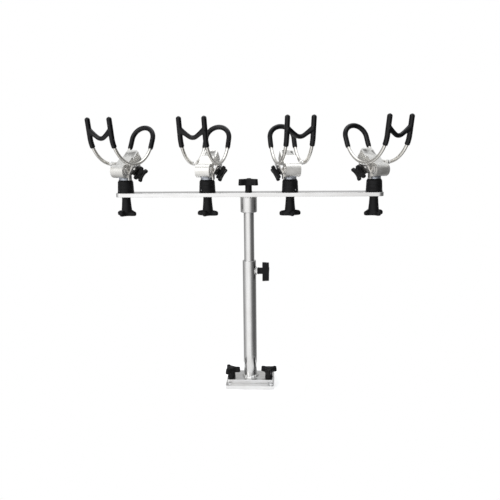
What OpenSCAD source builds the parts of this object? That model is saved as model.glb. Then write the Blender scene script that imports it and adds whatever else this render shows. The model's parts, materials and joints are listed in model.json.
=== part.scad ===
// Boat rack for four fishing rods: a flat bar on a telescoping post, a clamped
// two-plate deck base and four swivelling, tilting wire cradles.
// Origin: centre of the deck plate's underside. +Z up, bar along X, forks towards -Y.

/* [Base] */
// Deck plate length along the bar
deck_w = 122; // [100:1:160]
// Deck plate depth
deck_d = 96; // [80:1:130]
// Thickness of both base plates
plate_t = 9.5; // [8:0.5:12]
// Sole plate length along the bar
sole_w = 115; // [96:1:116]
// Sole plate depth
sole_d = 64; // [50:1:70]
// Radius of the deck screw holes
screw_r = 3.2; // [2.5:0.1:3.6]
// Distance from the base centre to each base knob
base_knob_x = 48; // [44:1:48]

/* [Post] */
// Outer tube diameter
sleeve_od = 33.4; // [32:0.1:36]
// Outer tube length
sleeve_len = 304.8; // [250:1:400]
// Inner tube diameter
mast_od = 25.4; // [24:0.1:27]
// Inner tube length
mast_len = 304.8; // [280:1:400]
// Height of the post clamp above the deck
clamp_z = 297; // [200:1:300]

/* [Bar] */
// Cross bar length
bar_len = 652; // [640:1:700]
// Cross bar depth
bar_d = 50.8; // [44:0.1:60]
// Cross bar thickness
bar_t = 9.5; // [8:0.5:12]
// Height of the bar's top face
bar_top = 495; // [495:1:520]
// Distance between neighbouring holders
post_pitch = 203.2; // [190:0.1:210]

/* [Holders] */
// Swivel angle of each holder, from left to right
holder_yaw = [-21.5, -13.5, 14.5, 28];
// Side of the bracket on each holder: 0 for +X, 1 for mirrored
holder_side = [0, 0, 1, 1];
// Forward distance of the tilt axis from the swivel axis
tilt_f = 20; // [18:0.5:22]
// Height of the tilt axis above the bar
tilt_z = 54; // [53:0.5:56]
// Cradle wire diameter
wire_d = 8; // [6:0.5:8]
// Diameter over the vinyl coating
coat_d = 12.6; // [11:0.1:13]
// Distance between the two side wires
wire_gap = 62; // [60:1:66]

/* [Hidden] */
$fn = 48;
fit = 0.06;        // running clearance of shafts and sliding tubes
gap = 0.4;         // clearance under knobs and between moving faces
stud_r = 4;
sleeve_r = sleeve_od / 2;
mast_r = mast_od / 2;
base_top = 2 * plate_t;
socket_bottom = bar_top - bar_t - 40;
mast_top = bar_top - bar_t - 2.5;
mast_bore = mast_r - 3.2;
post_x = [-1.5 * post_pitch, -0.5 * post_pitch, 0.5 * post_pitch, 1.5 * post_pitch];
base_knob_y = -14;

// Holder heights are measured from the bar's top face
collar_h = 31.5;
neck_r = 15.5;
neck_top = 37;
drum_r = 10;
barrel_r = 16.3;
barrel_half = 18;
plate_half = 17.5; // half width of the tilt block's plate
slab_len = 44;     // thick part of that plate, from the tilt axis
slab_t = 14;
tab_t = 7;         // thin part behind it, which holds the cross hole
tab_len = 76;
tab_corner = 9;
hole_at = 61;      // the hole's distance from the tilt axis
hole_r = 4;
hole_sink_r = 8;   // wide upper part of the hole
hole_sink = 4.5;
flange_x = -16.8;  // outer face of the flange under the tab, on the bracket's side
flange_t = 6;
flange_len = 25;
flange_drop = 27;
drum_half = 17.6;
slot_half = 8.4;   // half width of the slot that the lug moves in
lug_half = 8;
lug_w = 9;
lug_angle = 60;    // lean of the lug, measured from horizontal
plate_angle = 41;  // slope of the tilt block's plate
wire_r = wire_d / 2;
coat_r = coat_d / 2;
side_x = wire_gap / 2;
saddle_r = 3.2;
saddle_coat_r = 5.2;
rod_sides = 10;
belly_f = 3;       // forward place of the cradle's lowest point
belly_z = 70;      // height of the wire's centre there
belly_r = 88;      // bend radius of the cradle's underside
belly_front = -31; // angle on that bend where the fork's coating begins
belly_rear = -143; // angle on that bend where the arch's coating begins
heel_r = 60;       // bend radius above the belly
front_heel = -9;   // angle where the prong becomes straight
rear_heel = -155;  // angle where the arch's leg becomes straight
prong_len = 43;
arch_leg = 15.5;
saddle_up = 17.5;  // height of the saddle's ends above the foot of the prong
saddle_drop = 36;  // slope of the saddle's legs
saddle_bend = 16;
saddle_reach = 25; // half length of the bare saddle rod
tilt_up = 6;       // how far the fork can rise
tilt_down = 32;    // how far the fork can drop
bracket_x = 18;    // inner face of the side bracket
bracket_t = 3;
fold_z = 45;       // height of the bracket's fold
web_lean = 28;     // lean of the bracket's web from upright
star_f = -23;      // star knob's place on the web
star_up = 4.5;
star_turn = 65;     // how far the star knob is turned

// Cradle seen from the side, as forward distance and height: from the prong's
// tip, round under the holder, to the top of the arch's straight leg
function on_bend(centre, r, a) = centre + r * [cos(a), sin(a)];
belly_c = [belly_f, belly_z + belly_r];
front_c = on_bend(belly_c, belly_r - heel_r, belly_front);
rear_c = on_bend(belly_c, belly_r - heel_r, belly_rear);
prong_foot = on_bend(front_c, heel_r, front_heel);
prong_dir = [-sin(front_heel), cos(front_heel)];
leg_dir = [sin(rear_heel), -cos(rear_heel)];
leg_top = on_bend(rear_c, heel_r, rear_heel) + arch_leg * leg_dir;
heel_steps = 2;
belly_steps = 12;
arch_steps = 12;
cradle_profile = concat(
    [prong_foot + prong_len * prong_dir],
    [for (i = [0 : heel_steps - 1])
        on_bend(front_c, heel_r, front_heel + (belly_front - front_heel) * i / heel_steps)],
    [for (i = [0 : belly_steps])
        on_bend(belly_c, belly_r, belly_front + (belly_rear - belly_front) * i / belly_steps)],
    [on_bend(rear_c, heel_r, rear_heel), leg_top]);
fork_end = heel_steps + 1;                 // point where the fork's coating ends
arch_start = heel_steps + 1 + belly_steps; // point where the arch's coating begins

// The whole rod: up one side, over the arch and back along the other side
cradle_path = concat(
    [for (p = cradle_profile) [-side_x, -p[0], p[1]]],
    [for (i = [1 : arch_steps - 1])
        let (a = 180 - 180 * i / arch_steps, p = leg_top + side_x * sin(a) * leg_dir)
            [side_x * cos(a), -p[0], p[1]]],
    [for (i = [len(cradle_profile) - 1 : -1 : 0])
        [side_x, -cradle_profile[i][0], cradle_profile[i][1]]]);
cradle_last = len(cradle_path) - 1;

// Point in the fork's leaning plane, x across and v up from the prong's foot
function in_fork(x, v) =
    let (p = prong_foot + v * prong_dir) [x, -p[0], p[1]];

// V-shaped saddle between the prongs, "reach" to each side of the middle
bend_x = saddle_bend * sin(saddle_drop);
bend_v = saddle_up - (side_x - bend_x) * tan(saddle_drop);
function saddle_path(reach) = concat(
    [in_fork(-reach, saddle_up - (side_x - reach) * tan(saddle_drop))],
    [for (i = [-2 : 2]) let (a = saddle_drop * i / 2)
        in_fork(saddle_bend * sin(a), bend_v + saddle_bend * (cos(saddle_drop) - cos(a)))],
    [in_fork(reach, saddle_up - (side_x - reach) * tan(saddle_drop))]);

// ---- shared shapes ----

// Plate with rounded vertical corners, centred on X and Y, base at z = 0
module rounded_plate(w, d, t, r) {
    translate([-w / 2 + r, -d / 2, 0]) cube([w - 2 * r, d, t]);
    translate([-w / 2, -d / 2 + r, 0]) cube([w, d - 2 * r, t]);
    for (x = [-1, 1], y = [-1, 1])
        translate([x * (w / 2 - r), y * (d / 2 - r), 0]) cylinder(r = r, h = t);
}

// Knob head seen from its end: straight lobes with round tips about a round middle
module lobes(count, tip_r, reach, hub_r, h) {
    cylinder(r = hub_r, h = h);
    for (i = [0 : count - 1]) rotate([0, 0, i * 360 / count]) {
        translate([0, -tip_r, 0]) cube([reach - tip_r, 2 * tip_r, h]);
        translate([reach - tip_r, 0, 0]) cylinder(r = tip_r, h = h);
    }
}

// Three-lobe clamp knob on a round stem, standing on z = 0
module three_lobe_knob(stem_r, stem_h, head_h, reach, tip_r) {
    cylinder(r = stem_r, h = stem_h + 1);
    translate([0, 0, stem_h]) lobes(3, tip_r, reach, stem_r + 1.5, head_h);
}

function unit(v) = v / norm(v);

// Ring of points round centre c, square to direction t, starting along n
function ring(c, t, n, r) =
    [for (k = [0 : rod_sides - 1]) let (a = 360 * k / rod_sides)
        c + r * (cos(a) * n + sin(a) * cross(t, n))];

function headings(path) =
    let (last = len(path) - 1)
        [for (i = [0 : last]) unit(path[min(i + 1, last)] - path[max(i - 1, 0)])];

// Directions square to the path that turn as little as possible along it
function carried(t, n, i = 0) =
    i >= len(t) ? [] :
    let (m = unit(n - (n * t[i]) * t[i])) concat([m], carried(t, m, i + 1));

// Rings of radius r round a path, from point number "from" to number "to"
function rod_rings(path, r, from, to) =
    let (t = headings(path), n = carried(t, [1, 0, 0]))
        [for (i = [from : to]) ring(path[i], t[i], n[i], r)];

// Closed solid through a list of rings
module skin(rings) {
    s = len(rings[0]);
    last = len(rings) - 1;
    polyhedron(
        points = [for (one = rings) each one],
        faces = concat(
            [[for (k = [0 : s - 1]) k]],
            [for (j = [0 : last - 1], k = [0 : s - 1])
                let (a = j * s, b = a + s, next = (k + 1) % s)
                    each [[a + k, b + k, b + next], [a + k, b + next, a + next]]],
            [[for (k = [s - 1 : -1 : 0]) last * s + k]]));
}

module rod(path, r) {
    skin(rod_rings(path, r, 0, len(path) - 1));
}

// ---- base and post ----

module deck_plate() {
    hole_x = deck_w / 2 - 9;
    hole_y = deck_d / 2 - 9.5;
    color("silver") difference() {
        rounded_plate(deck_w, deck_d, plate_t, 6);
        for (x = [-hole_x, hole_x], y = [-hole_y, hole_y]) translate([x, y, -1]) {
            cylinder(r = screw_r, h = plate_t + 2);
            translate([0, 0, plate_t + 1 - 3.3]) cylinder(r1 = screw_r, r2 = screw_r + 3.4, h = 3.4);
        }
        for (x = [-base_knob_x, base_knob_x])
            translate([x, base_knob_y, -1]) cylinder(r = stud_r + fit, h = plate_t + 2);
    }
}

module sole_plate() {
    color("silver") translate([0, 0, plate_t]) difference() {
        rounded_plate(sole_w, sole_d, plate_t, 5);
        for (x = [-base_knob_x, base_knob_x])
            translate([x, base_knob_y, -1]) cylinder(r = stud_r + fit, h = plate_t + 2);
    }
}

module mast_sleeve() {
    color("silver") translate([0, 0, base_top]) difference() {
        cylinder(r = sleeve_r, h = sleeve_len);
        translate([0, 0, -1]) cylinder(r = mast_r + fit, h = sleeve_len + 2);
        translate([0, 0, clamp_z - base_top]) rotate([0, 90, 0])
            cylinder(r = stud_r + fit, h = sleeve_r + 5);
    }
}

// Ring of weld metal with a sloping face, round a tube of radius r
module weld_ring(r, leg) {
    rotate_extrude() polygon([[r, 0], [r + leg, 0], [r, leg]]);
}

module sleeve_weld() {
    color("gainsboro") translate([0, 0, base_top]) weld_ring(sleeve_r, 5);
}

module clamp_boss() {
    color("silver") difference() {
        translate([0, 0, clamp_z]) rotate([0, 90, 0]) cylinder(r = 8.5, h = 20.5);
        translate([0, 0, clamp_z - 20]) cylinder(r = sleeve_r, h = 40);
        translate([0, 0, clamp_z]) rotate([0, 90, 0]) cylinder(r = stud_r + fit, h = 25);
    }
}

module base_knob() {
    translate([0, 0, base_top + gap]) {
        three_lobe_knob(9.6, 14, 12.5, 22.6, 5.2);
        translate([0, 0, -plate_t - 6]) cylinder(r = stud_r, h = plate_t + 7);
    }
}

module base_knob_left() {
    color("#202124") translate([-base_knob_x, base_knob_y, 0]) base_knob();
}

module base_knob_right() {
    color("#202124") translate([base_knob_x, base_knob_y, 0]) rotate([0, 0, 30]) base_knob();
}

module mast_clamp_knob() {
    color("#202124") translate([20.5 + gap, 0, clamp_z]) rotate([0, 90, 0]) difference() {
        rotate([0, 0, 90]) three_lobe_knob(8.7, 12, 16.5, 27.2, 6.5);
        translate([0, 0, -1]) cylinder(r = stud_r, h = 19);
    }
}

module mast_clamp_bolt() {
    color("darkgray") translate([mast_r + gap, 0, clamp_z]) rotate([0, 90, 0])
        cylinder(r = stud_r, h = 20.5 + gap + 18 - mast_r - gap);
}

module mast_tube() {
    color("silver") translate([0, 0, mast_top - mast_len]) difference() {
        cylinder(r = mast_r, h = mast_len);
        translate([0, 0, -1]) cylinder(r = mast_bore, h = mast_len + 2);
    }
}

module mast_plug() {
    color("darkgray") translate([0, 0, mast_top - 25]) difference() {
        cylinder(r = mast_bore, h = 25);
        translate([0, 0, -1]) cylinder(r = stud_r + fit, h = 27);
    }
}

// ---- cross bar ----

module cross_bar() {
    color("silver") translate([0, 0, bar_top - bar_t]) difference() {
        rounded_plate(bar_len, bar_d, bar_t, 12.7);
        translate([0, 0, -1]) cylinder(r = stud_r + fit, h = bar_t + 2);
        for (x = post_x) translate([x, 0, -1]) cylinder(r = stud_r + fit, h = bar_t + 2);
    }
}

module bar_socket() {
    color("silver") difference() {
        translate([0, 0, socket_bottom]) rotate_extrude()
            polygon([[0, 0], [18.8, 0], [20.3, 1.5], [20.3, 40], [0, 40]]);
        translate([0, 0, socket_bottom - 1]) cylinder(r = mast_r + fit, h = 40);
        cylinder(r = stud_r + fit, h = bar_top);
    }
}

module socket_weld() {
    color("gainsboro") translate([0, 0, bar_top - bar_t]) mirror([0, 0, 1]) weld_ring(20.3, 3.5);
}

module bar_knob() {
    color("#202124") translate([0, 0, bar_top + gap]) difference() {
        rotate([0, 0, 90]) three_lobe_knob(8.7, 16.5, 15.5, 27, 6.5);
        translate([0, 0, -1]) cylinder(r = stud_r, h = 20);
    }
}

module bar_bolt() {
    color("darkgray") translate([0, 0, mast_top - 20])
        cylinder(r = stud_r, h = bar_top + gap + 19 - mast_top + 20);
}

// ---- rod holder ----
// Each holder is drawn about its own swivel axis, with z = 0 on the bar,
// the fork towards -Y and the bracket on the +X side.

module at_holder(n) {
    translate([post_x[n - 1], 0, bar_top]) rotate([0, 0, holder_yaw[n - 1]])
        mirror([holder_side[n - 1], 0, 0]) children();
}

// The tilt axis, with local +X forward, +Y up and +Z along the axis
module at_tilt_axis() {
    translate([0, -tilt_f, tilt_z]) rotate([90, 0, -90]) children();
}

module swivel_collar(n) {
    color("#202124") at_holder(n) difference() {
        rotate_extrude() polygon([[0, 0], [20.6, 0], [20, 3], [18.9, 26.5], [16, collar_h], [0, collar_h]]);
        translate([0, 0, -1]) cylinder(r = stud_r + 1, h = collar_h + 2);
        translate([0, 0, 6]) rotate([90, 0, -30]) cylinder(r = 2, h = 30);
    }
}

module collar_screw(n) {
    color("silver") at_holder(n) translate([0, 0, 6]) rotate([90, 0, -30])
        translate([0, 0, 12]) cylinder(r = 2, h = 7.3);
}

// Neck, leaning lug, cross drum and the stud that goes down through the bar
module swivel_hub(n) {
    lug_len = (tilt_z - neck_top) / sin(lug_angle) + 2;
    color("#3a3c40") at_holder(n) {
        translate([0, 0, collar_h]) cylinder(r = neck_r, h = neck_top - collar_h);
        cylinder(r = stud_r + 1, h = collar_h);
        translate([0, 0, -bar_t - 35]) cylinder(r = stud_r, h = bar_t + 36);
        at_tilt_axis() {
            translate([0, 0, -drum_half]) cylinder(r = drum_r, h = 2 * drum_half);
            rotate([0, 0, 180 + lug_angle]) translate([0, -lug_w / 2, -lug_half])
                cube([lug_len, lug_w, 2 * lug_half]);
        }
    }
}

module clamp_knob(n) {
    color("#202124") at_holder(n) translate([0, 0, -bar_t - gap]) difference() {
        mirror([0, 0, 1]) {
            cylinder(r1 = 11, r2 = 13.5, h = 38);
            translate([0, 0, 37]) lobes(4, 5, 27, 14, 9);
            translate([0, 0, 46]) cylinder(r1 = 14, r2 = 6, h = 2.5);
        }
        translate([0, 0, -35]) cylinder(r = stud_r + fit, h = 36);
    }
}

// Barrel round the drum, the plate that slopes up and back from it with a flange
// on the bracket's side, and the short pin that carries the cradle's far wire
module tilt_block(n) {
    lug_spread = asin(lug_w / 2 / drum_r);
    slot_from = 180 + lug_angle - lug_spread - tilt_up - 3;
    slot_to = 180 + lug_angle + lug_spread + tilt_down + 3;
    slot_r = barrel_r + 6;
    slot_steps = 6;
    color("silver") at_holder(n) at_tilt_axis() difference() {
        union() {
            translate([0, 0, -barrel_half]) cylinder(r = barrel_r, h = 2 * barrel_half);
            rotate([0, 0, 180 - plate_angle]) {
                translate([0, -slab_t / 2, -plate_half])
                    cube([slab_len, slab_t, 2 * plate_half]);
                translate([slab_len - 4, 0, -plate_half])
                    cube([tab_len - tab_corner - slab_len + 4, tab_t, 2 * plate_half]);
                translate([tab_len - tab_corner - 1, 0, -plate_half + tab_corner])
                    cube([tab_corner + 1, tab_t, 2 * (plate_half - tab_corner)]);
                for (z = [-1, 1])
                    translate([tab_len - tab_corner, tab_t, z * (plate_half - tab_corner)])
                        rotate([90, 0, 0]) cylinder(r = tab_corner, h = tab_t);
                translate([slab_len, 1, flange_x]) cube([flange_len, flange_drop, flange_t]);
            }
            translate([2, belly_z + 2.2 - tilt_z, barrel_half - 2])
                cylinder(r = 4.5, h = side_x - wire_r - barrel_half + 2);
        }
        cylinder(r = drum_r + fit, h = 3 * barrel_half, center = true);
        translate([0, 0, -slot_half]) linear_extrude(2 * slot_half)
            polygon([[0, 0], for (i = [0 : slot_steps])
                let (a = slot_from + (slot_to - slot_from) * i / slot_steps)
                    slot_r * [cos(a), sin(a)]]);
        rotate([0, 0, 180 - plate_angle]) translate([hole_at, 0, 0]) rotate([-90, 0, 0]) {
            cylinder(r = hole_r, h = tab_t + 1);
            translate([0, 0, hole_sink - 10]) cylinder(r = hole_sink_r, h = 10);
        }
    }
}

module cradle_wire(n) {
    color("gainsboro") at_holder(n) rod(cradle_path, wire_r);
}

module rod_saddle(n) {
    color("gainsboro") at_holder(n) rod(saddle_path(saddle_reach), saddle_r);
}

// Coating over one prong, with a round tip
module prong_coating() {
    tip = cradle_path[0];
    down = unit(cradle_path[1] - tip);
    skin(concat(
        [for (a = [72, 48, 24])
            ring(tip - coat_r * sin(a) * down, down, [1, 0, 0], coat_r * cos(a))],
        rod_rings(cradle_path, coat_r, 0, fork_end)));
}

module fork_coating(n) {
    color("#151517") at_holder(n) difference() {
        union() {
            prong_coating();
            mirror([1, 0, 0]) prong_coating();
            rod(saddle_path(side_x), saddle_coat_r);
        }
        rod(cradle_path, wire_r);
        rod(saddle_path(saddle_reach), saddle_r);
    }
}

module arch_coating(n) {
    color("#151517") at_holder(n) difference() {
        skin(rod_rings(cradle_path, coat_r, arch_start, cradle_last - arch_start));
        rod(cradle_path, wire_r);
    }
}

// The web's plane: origin on the fold, +X forward, +Y up the web, +Z outward
module at_web() {
    translate([bracket_x + bracket_t / 2, 0, fold_z]) rotate([0, web_lean, 0])
        rotate([90, 0, 90]) mirror([1, 0, 0]) children();
}

// Folded sheet: an ear on the barrel's end, a tab and the web under the wire
module lock_bracket(n) {
    color("gainsboro") at_holder(n) difference() {
        union() {
            translate([bracket_x, -tilt_f, tilt_z]) rotate([0, 90, 0]) cylinder(r = 9, h = bracket_t);
            translate([bracket_x, -tilt_f, fold_z - 1]) cube([bracket_t, tilt_f - 3, 15]);
            translate([bracket_x, -14, fold_z - 14]) cube([bracket_t, 12, 16]);
            at_web() translate([0, 0, -bracket_t / 2]) linear_extrude(bracket_t)
                polygon([[14, 0], [13, 26], [-16, 28], [-32, 12], [-32, -2], [-14, -5], [-3, 0]]);
            at_web() translate([star_f, star_up, -bracket_t / 2 - 6]) cylinder(r = 6.5, h = 7);
        }
        translate([bracket_x - 5, -belly_f, belly_z + belly_r]) rotate([0, 90, 0])
            cylinder(r = belly_r + wire_r, h = 30);
        at_web() translate([1, 17, -5]) cylinder(r = 3.2, h = 10);
        at_web() translate([star_f, star_up, -20]) cylinder(r = 3 + fit, h = 40);
    }
}

module star_knob(n) {
    color("#202124") at_holder(n) at_web() translate([star_f, star_up, bracket_t / 2 + gap]) {
        cylinder(r = 8, h = 4.5);
        translate([0, 0, 3.5]) rotate([0, 0, star_turn]) lobes(4, 4.6, 23.2, 12, 9);
        translate([0, 0, -12]) cylinder(r = 3, h = 13);
    }
}

deck_plate();
sole_plate();
mast_sleeve();
sleeve_weld();
clamp_boss();
base_knob_left();
base_knob_right();
mast_clamp_knob();
mast_clamp_bolt();
mast_tube();
mast_plug();
cross_bar();
bar_socket();
socket_weld();
bar_knob();
bar_bolt();
swivel_collar(1);  // swivel_collar_1
collar_screw(1);  // collar_screw_1
swivel_hub(1);  // swivel_hub_1
clamp_knob(1);  // clamp_knob_1
tilt_block(1);  // tilt_block_1
cradle_wire(1);  // cradle_wire_1
rod_saddle(1);  // rod_saddle_1
fork_coating(1);  // fork_coating_1
arch_coating(1);  // arch_coating_1
lock_bracket(1);  // lock_bracket_1
star_knob(1);  // star_knob_1
swivel_collar(2);  // swivel_collar_2
collar_screw(2);  // collar_screw_2
swivel_hub(2);  // swivel_hub_2
clamp_knob(2);  // clamp_knob_2
tilt_block(2);  // tilt_block_2
cradle_wire(2);  // cradle_wire_2
rod_saddle(2);  // rod_saddle_2
fork_coating(2);  // fork_coating_2
arch_coating(2);  // arch_coating_2
lock_bracket(2);  // lock_bracket_2
star_knob(2);  // star_knob_2
swivel_collar(3);  // swivel_collar_3
collar_screw(3);  // collar_screw_3
swivel_hub(3);  // swivel_hub_3
clamp_knob(3);  // clamp_knob_3
tilt_block(3);  // tilt_block_3
cradle_wire(3);  // cradle_wire_3
rod_saddle(3);  // rod_saddle_3
fork_coating(3);  // fork_coating_3
arch_coating(3);  // arch_coating_3
lock_bracket(3);  // lock_bracket_3
star_knob(3);  // star_knob_3
swivel_collar(4);  // swivel_collar_4
collar_screw(4);  // collar_screw_4
swivel_hub(4);  // swivel_hub_4
clamp_knob(4);  // clamp_knob_4
tilt_block(4);  // tilt_block_4
cradle_wire(4);  // cradle_wire_4
rod_saddle(4);  // rod_saddle_4
fork_coating(4);  // fork_coating_4
arch_coating(4);  // arch_coating_4
lock_bracket(4);  // lock_bracket_4
star_knob(4);  // star_knob_4
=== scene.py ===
"""Looks for a boat rack that holds four fishing rods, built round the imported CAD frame.

Shapes are drawn in millimetres in a local frame and placed by a matrix that ends in metres.
Each rod holder's local frame comes from its joints: +X to its bracket, -Y forward, Z = 0 on the bar.
"""
import json
import math

import bmesh
import bpy
import numpy as np
from mathutils import Matrix, Vector

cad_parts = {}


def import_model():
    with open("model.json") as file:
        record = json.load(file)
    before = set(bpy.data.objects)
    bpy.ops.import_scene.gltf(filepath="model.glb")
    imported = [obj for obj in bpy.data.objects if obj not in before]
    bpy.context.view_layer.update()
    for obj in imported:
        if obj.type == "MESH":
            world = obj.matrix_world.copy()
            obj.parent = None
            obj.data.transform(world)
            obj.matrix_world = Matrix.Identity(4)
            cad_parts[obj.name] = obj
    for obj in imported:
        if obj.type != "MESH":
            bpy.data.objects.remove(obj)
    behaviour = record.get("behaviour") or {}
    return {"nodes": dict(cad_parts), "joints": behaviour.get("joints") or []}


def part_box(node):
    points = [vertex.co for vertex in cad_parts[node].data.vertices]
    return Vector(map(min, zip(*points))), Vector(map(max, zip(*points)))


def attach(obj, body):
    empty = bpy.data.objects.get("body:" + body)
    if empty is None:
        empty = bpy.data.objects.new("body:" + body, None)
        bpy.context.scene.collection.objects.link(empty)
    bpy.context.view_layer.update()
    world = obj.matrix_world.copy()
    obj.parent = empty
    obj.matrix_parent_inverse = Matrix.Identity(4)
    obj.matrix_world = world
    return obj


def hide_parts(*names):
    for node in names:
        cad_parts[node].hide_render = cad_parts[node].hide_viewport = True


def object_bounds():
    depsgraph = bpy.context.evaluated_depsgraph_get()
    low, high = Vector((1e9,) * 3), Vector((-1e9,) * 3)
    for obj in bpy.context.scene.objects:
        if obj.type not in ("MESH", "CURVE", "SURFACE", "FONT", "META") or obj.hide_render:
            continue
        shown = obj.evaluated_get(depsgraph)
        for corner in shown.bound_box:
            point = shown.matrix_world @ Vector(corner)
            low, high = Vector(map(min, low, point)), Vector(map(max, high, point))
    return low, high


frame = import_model()
cad_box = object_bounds()

MM = 0.001
SCALE = Matrix.Scale(MM, 4)
JOINTS = {j["name"]: j for j in frame["joints"]}
HOLDERS = (1, 2, 3, 4)


def box_mm(node):
    """Lowest and highest corner of a CAD node, in millimetres."""
    lo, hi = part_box(node)
    return lo / MM, hi / MM


# ---- driving sizes, in millimetres ----

DECK_LO, DECK_HI = box_mm("deck_plate")
SOLE_LO, SOLE_HI = box_mm("sole_plate")
SLEEVE_LO, SLEEVE_HI = box_mm("mast_sleeve")
MAST_LO, MAST_HI = box_mm("mast_tube")
BAR_LO, BAR_HI = box_mm("cross_bar")
SOCKET_LO, SOCKET_HI = box_mm("bar_socket")
SLEEVE_R = (SLEEVE_HI.x - SLEEVE_LO.x) / 2
MAST_R = (MAST_HI.x - MAST_LO.x) / 2
SOCKET_R = (SOCKET_HI.x - SOCKET_LO.x) / 2
BAR_T = BAR_HI.z - BAR_LO.z
BAR_TOP = BAR_HI.z
BASE_TOP = SOLE_HI.z
FIT = 0.06
GAP = 0.4
STUD_R = 4.0
FLAT_ANGLE = 12  # degrees: sharper edges stay crisp, so that flat faces look flat
EDGE = 0.7
MAST_WALL = 3.2
DECK_CORNER_R, SOLE_CORNER_R, BAR_CORNER_R = 6.0, 5.0, 12.7
SCREW_INSET_X, SCREW_INSET_Y, SCREW_R, SCREW_HEAD_R = 9.0, 9.5, 3.2, 6.6
BOSS_FOOT, BOSS_END, BOSS_R, BOSS_WELD_R = 13.5, 20.5, 8.5, 9.6
BASE_STUD_LEN, HUB_STUD_LEN = 15.4, 44.0
# three-lobe knobs: stem radius and height, head height, reach and tip radius of the lobes
BASE_KNOB = (10.0, 14.0, 12.5, 22.5, 5.4)
MAST_KNOB = (8.7, 12.0, 16.5, 27.1, 6.5)
BAR_KNOB = (8.7, 16.5, 15.5, 26.9, 6.5)
CLAMP_Z = JOINTS["mast_clamp_turn"]["pos_m"][2] / MM
BASE_KNOB_Y = JOINTS["base_knob_left_turn"]["pos_m"][1] / MM

# rod holder
TILT_F, TILT_Z = 20.0, 54.0
SCREW_UP, SCREW_TURN = 6.0, -30.0
COLLAR_H, NECK_R, NECK_TOP = 31.5, 15.5, 37.0
BARREL_R, BARREL_HALF = 16.3, 18.0
DRUM_R, DRUM_HALF = 10.0, 17.6
SLOT_HALF, LUG_HALF, LUG_W, LUG_ANGLE = 8.4, 8.0, 9.0, 60.0
PLATE_ANGLE, PLATE_LEN, SLAB_LEN, PLATE_T, PLATE_HALF, PLATE_CORNER = 41.0, 76.0, 44.0, 7.0, 17.5, 9.0
GROOVES, GROOVE_STEP, GROOVE_TURN = 6, 4.8, 25.0
HOLE_AT, HOLE_R, HOLE_SINK_R, HOLE_SINK = 61.0, 4.0, 8.0, 4.5
FLANGE_END, FLANGE_FOOT, FLANGE_T = 70.0, 28.0, 7.0
WIRE_R, COAT_R, SADDLE_R, SIDE_X = 4.0, 6.3, 5.2, 31.0
BELLY_F, BELLY_Z, BELLY_R, HEEL_R = 3.0, 70.0, 88.0, 60.0
BELLY_FRONT, BELLY_REAR, FRONT_HEEL, REAR_HEEL = -31.0, -143.0, -9.0, -155.0
PRONG_LEN, ARCH_LEG = 43.0, 15.5
SADDLE_UP, SADDLE_DROP, SADDLE_BEND = 17.5, 36.0, 16.0
FOLD_Z, WEB_LEAN, BRACKET_X, BRACKET_T = 45.0, 28.0, 18.0, 3.0
STAR_F, STAR_UP, STAR_TURN = -23.0, 4.5, 65.0
STAR_BOLT_R, STAR_BORE = 3.0, 3.06


# ---- small mesh tools ----

def turned(angle, axis):
    return Matrix.Rotation(math.radians(angle), 4, axis)


def moved(x, y, z):
    return Matrix.Translation((x, y, z))


def rounded(points, steps=5, closed=True):
    """Polyline through (x, y, radius) corners, with an arc of that radius at each."""
    out = []
    n = len(points)
    for i, (x, y, r) in enumerate(points):
        here = np.array([x, y], float)
        if r <= 0 or (not closed and i in (0, n - 1)):
            out.append(here)
            continue
        a = np.array(points[i - 1][:2], float) - here
        b = np.array(points[(i + 1) % n][:2], float) - here
        a, b = a / np.linalg.norm(a), b / np.linalg.norm(b)
        half = math.acos(np.clip(a @ b, -1, 1)) / 2
        reach = r / math.tan(half)
        middle = here + (a + b) / np.linalg.norm(a + b) * r / math.sin(half)
        start, end = here + a * reach - middle, here + b * reach - middle
        sweep = math.pi - 2 * half
        for k in range(steps + 1):
            t = k / steps
            p = (math.sin((1 - t) * sweep) * start + math.sin(t * sweep) * end) / math.sin(sweep)
            out.append(middle + p)
    return out


def arc(cx, cy, r, a0, a1, steps):
    angles = np.radians(np.linspace(a0, a1, steps + 1))
    return [np.array([cx + r * math.cos(a), cy + r * math.sin(a)]) for a in angles]


def loft(rings, closed_rows=False, caps=True):
    """Vertices and faces through rings that all have the same number of points."""
    rows, cols = len(rings), len(rings[0])
    verts = [tuple(p) for ring in rings for p in ring]
    faces = []
    for j in range(rows if closed_rows else rows - 1):
        a, b = j * cols, ((j + 1) % rows) * cols
        faces += [(a + k, a + (k + 1) % cols, b + (k + 1) % cols, b + k) for k in range(cols)]
    if caps and not closed_rows:
        faces += [tuple(reversed(range(cols))), tuple(range((rows - 1) * cols, rows * cols))]
    return verts, faces


def lathe(profile, segments=72, closed=False):
    """Surface turned about Z from (radius, height) points."""
    angles = [2 * math.pi * k / segments for k in range(segments)]
    rings = [[(r * math.cos(a), r * math.sin(a), z) for a in angles] for r, z in profile]
    return loft(rings, closed_rows=closed)


def prism(outline, z0, z1):
    return loft([[(x, y, z) for x, y in outline] for z in (z0, z1)])


def sweep(path, radii, sides=20):
    """Round rod along a path, with one radius or one for each point."""
    path = np.array(path, float)
    radii = np.broadcast_to(radii, len(path))
    t = np.gradient(path, axis=0)
    t /= np.linalg.norm(t, axis=1)[:, None]
    n = np.cross(t[0], [0.3, 0.2, 1.0])
    rings = []
    angles = np.linspace(0, 2 * math.pi, sides, endpoint=False)
    for p, d, r in zip(path, t, radii):
        n = n - (n @ d) * d
        n /= np.linalg.norm(n)
        b = np.cross(d, n)
        rings.append([p + r * (math.cos(a) * n + math.sin(a) * b) for a in angles])
    return loft(rings)


def joined(*meshes):
    verts, faces = [], []
    for v, f in meshes:
        faces += [tuple(i + len(verts) for i in face) for face in f]
        verts += [tuple(p) for p in v]
    return verts, faces


def placed(mesh, matrix):
    return [tuple(matrix @ Vector(v)) for v in mesh[0]], mesh[1]


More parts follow.
